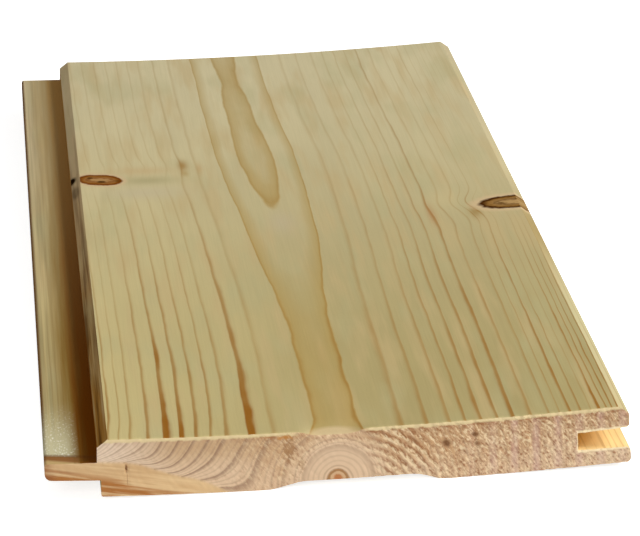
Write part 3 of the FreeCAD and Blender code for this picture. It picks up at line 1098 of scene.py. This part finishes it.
        # It is stained dark at the tongue's tip, and along one streak.
        tip = g.add("Math.MULTIPLY_ADD", (streak, -1.5, grain.x))
        tip = g.add("MapRange", (tip, -73.2, -70.2, 0.8, 0.0))
        dash = g.add("Math.ABSOLUTE", g.add("Math.ADD", (slant, 4.2)))
        dash = g.add("Math.MULTIPLY_ADD", (streak, 0.5, dash))
        dash = g.add("MapRange", (dash, 0.25, 0.75, 0.55, 0.0))
        dash = g.faded(dash, (grain.x, -67.0, -62.0, 1.0, 0.0))
        limb = g.add("Mix.RGBA", (g.add("Math.MAXIMUM", (tip, dash)), limb, self.tip))
        inside = g.add("MapRange.SMOOTHSTEP", (grain.branch, -0.8, 0.5, 1.0, 0.0))
        return g.add("Mix.RGBA", (inside, wood, limb))

    def edged(self, grain: SawnGrain, wood: Socket) -> Socket:
        """Lays the pale fringe and torn spots under the face, and the groove's pale rim.

        Args:
            grain: The end's sockets.
            wood: The colour so far.

        Returns:
            The colour with them.
        """
        g, section = grain.g, self.growth.section
        blot = g.add("TexNoise", (grain.place, 0.75, 3.0))
        below = g.add("Math.SUBTRACT", (section.thickness, grain.height))
        # Where the arris over the heart is worn, the fringe is gone.
        held = g.add("Math.MAXIMUM", (g.add("MapRange", (grain.x, -12.0, -9.5, 1.0, 0.0)),
                                      g.add("MapRange", (grain.x, 5.5, 7.5, 0.0, 1.0))))
        spots = g.faded(held, (blot, 0.47, 0.56, 0.0, 0.85), (below, 0.7, 2.3, 1.0, 0.0),
                        (grain.x, -26.0, -18.0, 0.25, 1.0))
        wood = g.add("Mix.RGBA", (spots, wood, self.fleck_dark))
        fringe = g.add("Math.MULTIPLY_ADD", (blot, 0.9, below))
        fringe = g.faded(held, (fringe, 1.15, 1.6, 1.0, 0.0))
        wood = g.add("Mix.RGBA", (fringe, wood, self.fringe))
        aside = g.add("Math.SUBTRACT", (section.groove_floor, grain.x))
        over = g.add("Math.ABSOLUTE", g.add("Math.SUBTRACT", (grain.height, section.joint_height)))
        over = g.add("Math.SUBTRACT", (over, section.tongue_root / 2))
        rim = g.add("Math.MULTIPLY_ADD", (blot, 0.9, g.add("Math.MAXIMUM", (aside, over))))
        rim = g.add("MapRange", (rim, 0.85, 1.25, 0.9, 0.0))
        return g.add("Mix.RGBA", (rim, wood, self.mouth_rim))

    def scarred(self, grain: SawnGrain, wood: Socket) -> Socket:
        """Lays the scars, the pits and the crack.

        Args:
            grain: The end's sockets.
            wood: The colour so far.

        Returns:
            The colour with them.
        """
        g = grain.g
        for scar, colour in self.scars:
            far = g.add("Math.ADD", (scar.on_end(grain), 2.0))
            far = g.add("Math.MULTIPLY_ADD", (grain.strokes, -4.0, far))
            share = g.add("MapRange", (far, 0.4, 1.2, scar.change, 0.0))
            wood = g.add("Mix.RGBA", (share, wood, colour))
        for pit in self.pits:
            far = g.add("Math.MULTIPLY_ADD", (grain.strokes, 2.2, pit.on_end(grain)))
            hole = g.add("MapRange", (far, 1.5, 2.2, pit.change, 0.0))
            wood = g.add("Mix.RGBA", (hole, wood, self.pit))
        return wood


@dataclass
class Board:
    """The board as one closed mesh, with its finishes."""

    section: Section
    growth: Growth
    name: str = "tongue_and_groove_board"
    length: float = 335.0
    end_grid: float = 0.42
    near_rows: tuple[float, ...] = (0.3, 0.7, 1.2, 1.9, 3.0, 5.0, 8.0, 13.0)
    row_spacing: float = 12.0
    cut_threshold: float = 1e-6
    bevel_steps: int = 4
    smooth_angle: float = 32.0
    # The near arris is broken by about this much, and so much more or less from place to place.
    arris_break: float = 0.45
    arris_uneven: float = 0.5
    # It is worn round over the heart of the board, between these places across it.
    worn_from: float = -11.0
    worn_to: float = 8.0
    worn_run_out: float = 6.0
    worn_drop: float = 1.2
    worn_depth: float = 4.0
    worn_length: float = 8.0
    # Fibres are torn to this depth, and deeper right of the heart. Strokes slant as the saw went.
    tear_depth: float = 0.05
    rough_depth: float = 0.13
    rough_from: float = 4.0
    rough_run_in: float = 6.0
    tear_swing: float = 1.6
    stroke: tuple[float, float] = (0.6, -0.8)
    # A crack and its tail at the left and three pits at the right, and how deep they go.
    pits: tuple[Patch, ...] = (Patch(-52.4, 7.2, 0.35, 1.3, 0.9), Patch(-52.3, 4.4, 0.2, 2.2, 0.4),
                               Patch(26.4, 9.2, 1.1, 1.2, 0.9), Patch(33.6, 11.0, 0.9, 0.7, 0.9),
                               Patch(34.1, 8.6, 0.8, 0.7, 0.7))
    pit_depth: float = 0.6

    def build(self) -> bpy.types.Object:
        """Models the board, dresses it and puts it in the place of its CAD node.

        Returns:
            The board.
        """
        self.draw_section()
        self.cut_end_grid()
        self.run_along_grain()
        self.mark_surfaces()
        self.tear_near_end()
        self.cup()
        board = bpy.context.object
        finishes = {Surface.PLANED: PlanedPine(self.growth), Surface.TONGUE: MouldedPine(self.growth),
                    Surface.SAWN: SawnPine(self.growth, pits=self.pits),
                    Surface.GROOVE: LitGroovePine(self.growth), Surface.FRESH: FreshPine(self.growth),
                    Surface.WORN: ShadedChamferPine(self.growth)}
        for surface in Surface:
            board.data.materials.append(finishes[surface].material())
        bpy.ops.object.mode_set(mode="OBJECT")
        bpy.ops.object.shade_smooth_by_angle(angle=math.radians(self.smooth_angle))
        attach(board, "root")
        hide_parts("board")
        return board

    def draw_section(self) -> None:
        """Draws the flat section at the near end, with its corners rounded."""
        corners = self.section.corners()
        bpy.ops.object.select_all(action="DESELECT")
        bpy.ops.mesh.primitive_circle_add(vertices=len(corners), radius=self.section.lip * MM,
                                          fill_type="NGON", enter_editmode=True)
        board = bpy.context.object
        board.name = self.name
        board.data.name = self.name
        mesh = bmesh.from_edit_mesh(board.data)
        mesh.verts.ensure_lookup_table()
        for vertex, corner in zip(mesh.verts, corners):
            vertex.co = Vector((corner.across, -self.length / 2, corner.height)) * MM
        bmesh.update_edit_mesh(board.data)
        bpy.ops.mesh.select_mode(type="VERT")
        for index, corner in enumerate(corners):
            if corner.rounding:
                before, after = corners[index - 1], corners[(index + 1) % len(corners)]
                self.select(lambda co: abs(co.x - corner.across) + abs(co.z - corner.height) < 0.01)
                bpy.ops.mesh.bevel(offset=self.setback(before, corner, after) * MM,
                                   segments=self.bevel_steps, affect="VERTICES")

    @staticmethod
    def setback(before: Corner, corner: Corner, after: Corner) -> float:
        """How far from a corner its rounding starts.

        Args:
            before: The corner before it.
            corner: The corner with its rounding.
            after: The corner after it.

        Returns:
            The distance along either edge.
        """
        turns = [math.atan2(other.height - corner.height, other.across - corner.across)
                 for other in (before, after)]
        inside = abs((turns[0] - turns[1] + math.pi) % (2 * math.pi) - math.pi)
        return corner.rounding / math.tan(inside / 2)

    def select(self, wanted: Callable[[Vector], bool]) -> None:
        """Selects the vertices that a test picks.

        Args:
            wanted: The test of a vertex's place in millimetres.
        """
        board = bpy.context.object
        mesh = bmesh.from_edit_mesh(board.data)
        for vertex in mesh.verts:
            vertex.select = bool(wanted(vertex.co / MM))
        mesh.select_flush_mode()
        bmesh.update_edit_mesh(board.data)

    def cut(self, place: Vector, normal: Vector) -> None:
        """Cuts edges through the whole mesh along a plane.

        Args:
            place: A point of the plane in millimetres.
            normal: The way that the plane looks.
        """
        bpy.ops.mesh.select_all(action="SELECT")
        bpy.ops.mesh.bisect(plane_co=place * MM, plane_no=normal, threshold=self.cut_threshold)

    def cut_end_grid(self) -> None:
        """Cuts the section into a grid of small faces."""
        for normal, start, span in ((Vector((1, 0, 0)), self.section.tip, self.section.overall_width),
                                    (Vector((0, 0, 1)), 0.0, self.section.thickness)):
            for index in range(int(span / self.end_grid)):
                self.cut(normal * (start + self.end_grid * (index + 0.5)), normal)

    def run_along_grain(self) -> None:
        """Runs the section along the grain and cuts rows across the run."""
        bpy.ops.mesh.select_all(action="SELECT")
        bpy.ops.mesh.extrude_region_move(TRANSFORM_OT_translate={"value": (0, self.length * MM, 0)})
        along = Vector((0, 1, 0))
        for place in self.rows():
            self.cut(along * place, along)
        bpy.ops.mesh.select_all(action="SELECT")
        bpy.ops.mesh.normals_make_consistent(inside=False)

    def rows(self) -> Iterator[float]:
        """Where the rows lie along the board: close at the ends and far apart between them.

        Yields:
            The place of each row.
        """
        half = self.length / 2
        for step in self.near_rows:
            yield step - half
            yield half - step
        first = self.near_rows[-1]
        count = int((self.length - 2 * first) / self.row_spacing)
        for index in range(1, count):
            yield first - half + (self.length - 2 * first) * index / count

    def mark_surfaces(self) -> None:
        """Gives each face of the flat board its finish."""
        mesh = bmesh.from_edit_mesh(bpy.context.object.data)
        for face in mesh.faces:
            face.material_index = self.surface_of(face)
        bmesh.update_edit_mesh(bpy.context.object.data)

    def surface_of(self, face: bmesh.types.BMFace) -> Surface:
        """Finds which surface a face of the flat board is part of, by where it lies and looks.

        Args:
            face: The face.

        Returns:
            Its surface.
        """
        section, middle, looks = self.section, face.calc_center_median() / MM, face.normal
        if abs(looks.y) > 0.5:
            return Surface.SAWN
        if middle.x < section.shoulder + 0.05 and middle.z < section.foot:
            return Surface.TONGUE
        in_groove = section.groove_floor - 0.1 < middle.x < section.lip - 0.2
        if in_groove and abs(middle.z - section.joint_height) < section.tongue_root / 2 + 0.5:
            return Surface.GROOVE
        if middle.z > section.foot - 0.2:
            if looks.x > 0.2 and middle.x > section.lip - section.chamfer_width - 0.1:
                return Surface.FRESH
            if looks.x < -0.2 and middle.x < section.shoulder + section.chamfer_width:
                return Surface.WORN
        return Surface.PLANED

    def tear_near_end(self) -> None:
        """Roughens the near end as the saw left it, breaks its upper arris and sinks its pits."""
        mesh = bmesh.from_edit_mesh(bpy.context.object.data)
        for vertex in mesh.verts:
            across, along, height = vertex.co / MM
            inward, below = along + self.length / 2, self.section.thickness - height
            if inward > self.worn_length:
                continue
            inward, below = self.broken(across, inward, below)
            if inward < 0.8:
                inward += self.torn_depth(across, height) * (1.0 - inward)
            vertex.co.y = (inward - self.length / 2) * MM
            vertex.co.z = (self.section.thickness - below) * MM
        bmesh.update_edit_mesh(bpy.context.object.data)

    def broken(self, across: float, inward: float, below: float) -> tuple[float, float]:
        """Rounds a point by the upper arris of the near end.

        Args:
            across: The point's place across the board.
            inward: Its distance in from the near end.
            below: Its distance below the show face.

        Returns:
            The two distances, rounded.
        """
        touching = 0.01
        radius = self.arris_break + self.arris_uneven * noise.noise((across / 1.3, 0.0, 0.0))
        if inward < touching and below < touching:
            inward = below = radius * (1 - math.sqrt(0.5))
        elif inward < touching and below < radius:
            inward = radius - math.sqrt(radius ** 2 - (radius - below) ** 2)
        elif below < touching and inward < radius:
            below = radius - math.sqrt(radius ** 2 - (radius - inward) ** 2)
        worn = min(across - self.worn_from, self.worn_to - across) / self.worn_run_out
        worn = min(max(worn, 0.0), 1.0)
        worn *= worn * (3 - 2 * worn) * (1 - inward / self.worn_length) ** 2
        return inward, below + self.worn_drop * worn * max(0.0, 1 - below / self.worn_depth)

    def torn_depth(self, across: float, height: float) -> float:
        """How deep the torn fibres and pits lie at a point of the near end.

        Args:
            across: The point's place across the board.
            height: Its height in the flat section.

        Returns:
            The depth in millimetres.
        """
        rough = min(max((across - self.rough_from) / self.rough_run_in, 0.0), 1.0)
        right, down = self.stroke
        along, over = right * across + down * height, right * height - down * across
        swing = 1 + self.tear_swing * noise.noise((along * 0.45, over * 1.3, 3.0))
        depth = (self.tear_depth + self.rough_depth * rough) * swing
        for pit in self.pits:
            far = math.hypot((across - pit.x) / pit.reach_x, (height - pit.y) / pit.reach_y)
            depth += self.pit_depth * pit.change * max(0.0, 1 - far * far / 1.6)
        return depth

    def cup(self) -> None:
        """Bends the flat board to its cup."""
        mesh = bmesh.from_edit_mesh(bpy.context.object.data)
        for vertex in mesh.verts:
            x, z = self.section.cupped(vertex.co.x / MM, vertex.co.z / MM)
            vertex.co.x, vertex.co.z = x * MM, z * MM
        bmesh.update_edit_mesh(bpy.context.object.data)


@dataclass(frozen=True)
class Lamp:
    """A square soft lamp: its name, where it hangs, the length of its side and its watts."""

    name: str
    place: tuple[float, float, float]
    size: float
    power: float

    def hang(self) -> None:
        """Hangs the lamp so that it looks at the board."""
        bpy.ops.object.light_add(type="AREA", location=self.place)
        lamp = bpy.context.object
        lamp.name = self.name
        lamp.rotation_euler = (-Vector(self.place)).to_track_quat("-Z", "Y").to_euler()
        lamp.data.size = self.size
        lamp.data.energy = self.power


@dataclass
class Studio:
    """A pale floor, soft light from the right and above, and the camera."""

    eye: tuple[float, float, float] = (-0.07214, -0.94333, 0.33293)
    turn: tuple[float, float, float] = (70.4827, 1.6198, -5.6254)
    lens: float = 193.478
    nearest_seen: float = 0.05
    lamps: tuple[Lamp, ...] = (Lamp("right_softbox", (0.92, -0.33, 0.80), 0.55, 15.0),
                               Lamp("front_softbox", (-0.40, -1.35, 0.60), 0.8, 8.1))
    sky: float = 0.28
    floor_half: float = 4.0
    floor_colour: str = "#F2F2F2"
    floor_glow: float = 0.74

    def build(self) -> None:
        """Sets up the floor, the lamps, the sky and the camera."""
        scene = bpy.context.scene
        scene.view_settings.view_transform = "Standard"
        bpy.ops.object.camera_add(location=self.eye, rotation=[math.radians(a) for a in self.turn])
        camera = bpy.context.object
        camera.data.lens = self.lens
        camera.data.clip_start = self.nearest_seen
        scene.camera = camera
        self.lay_floor()
        for lamp in self.lamps:
            lamp.hang()
        self.light_sky()

    def lay_floor(self) -> None:
        """Lays the floor that the board rests on."""
        bpy.ops.object.select_all(action="DESELECT")
        bpy.ops.mesh.primitive_plane_add(size=2 * self.floor_half)
        floor = bpy.context.object
        floor.name = "floor"
        material = bpy.data.materials.new("white_floor")
        g = Graph(material)
        paint = g.add("BsdfDiffuse", {"Color": self.floor_colour})
        glow = g.add("Math.MULTIPLY", (g.add("LightPath", out="Is Camera Ray"), self.floor_glow))
        glow = g.add("Emission", {"Color": "#FFFFFF", "Strength": glow})
        g.add("OutputMaterial", g.add("AddShader", (paint, glow)))
        floor.data.materials.append(material)

    def light_sky(self) -> None:
        """Lights the board evenly from all round, and shows the camera plain white."""
        world = bpy.data.worlds.new("white_sky")
        bpy.context.scene.world = world
        g = Graph(world)
        strength = g.add("MapRange", (g.add("LightPath", out="Is Camera Ray"), 0.0, 1.0, self.sky, 1.0))
        g.add("OutputWorld", g.add("Background", {"Strength": strength}))


def main() -> None:
    """Builds the board and the studio, and reports each piece."""
    logging.basicConfig(level=logging.INFO, format="%(name)s: %(message)s")
    board = Board(Section(), Growth()).build()
    LOG.info("%s: %d faces", board.name, len(board.data.polygons))
    Studio().build()


if __name__ == "__main__":
    main()
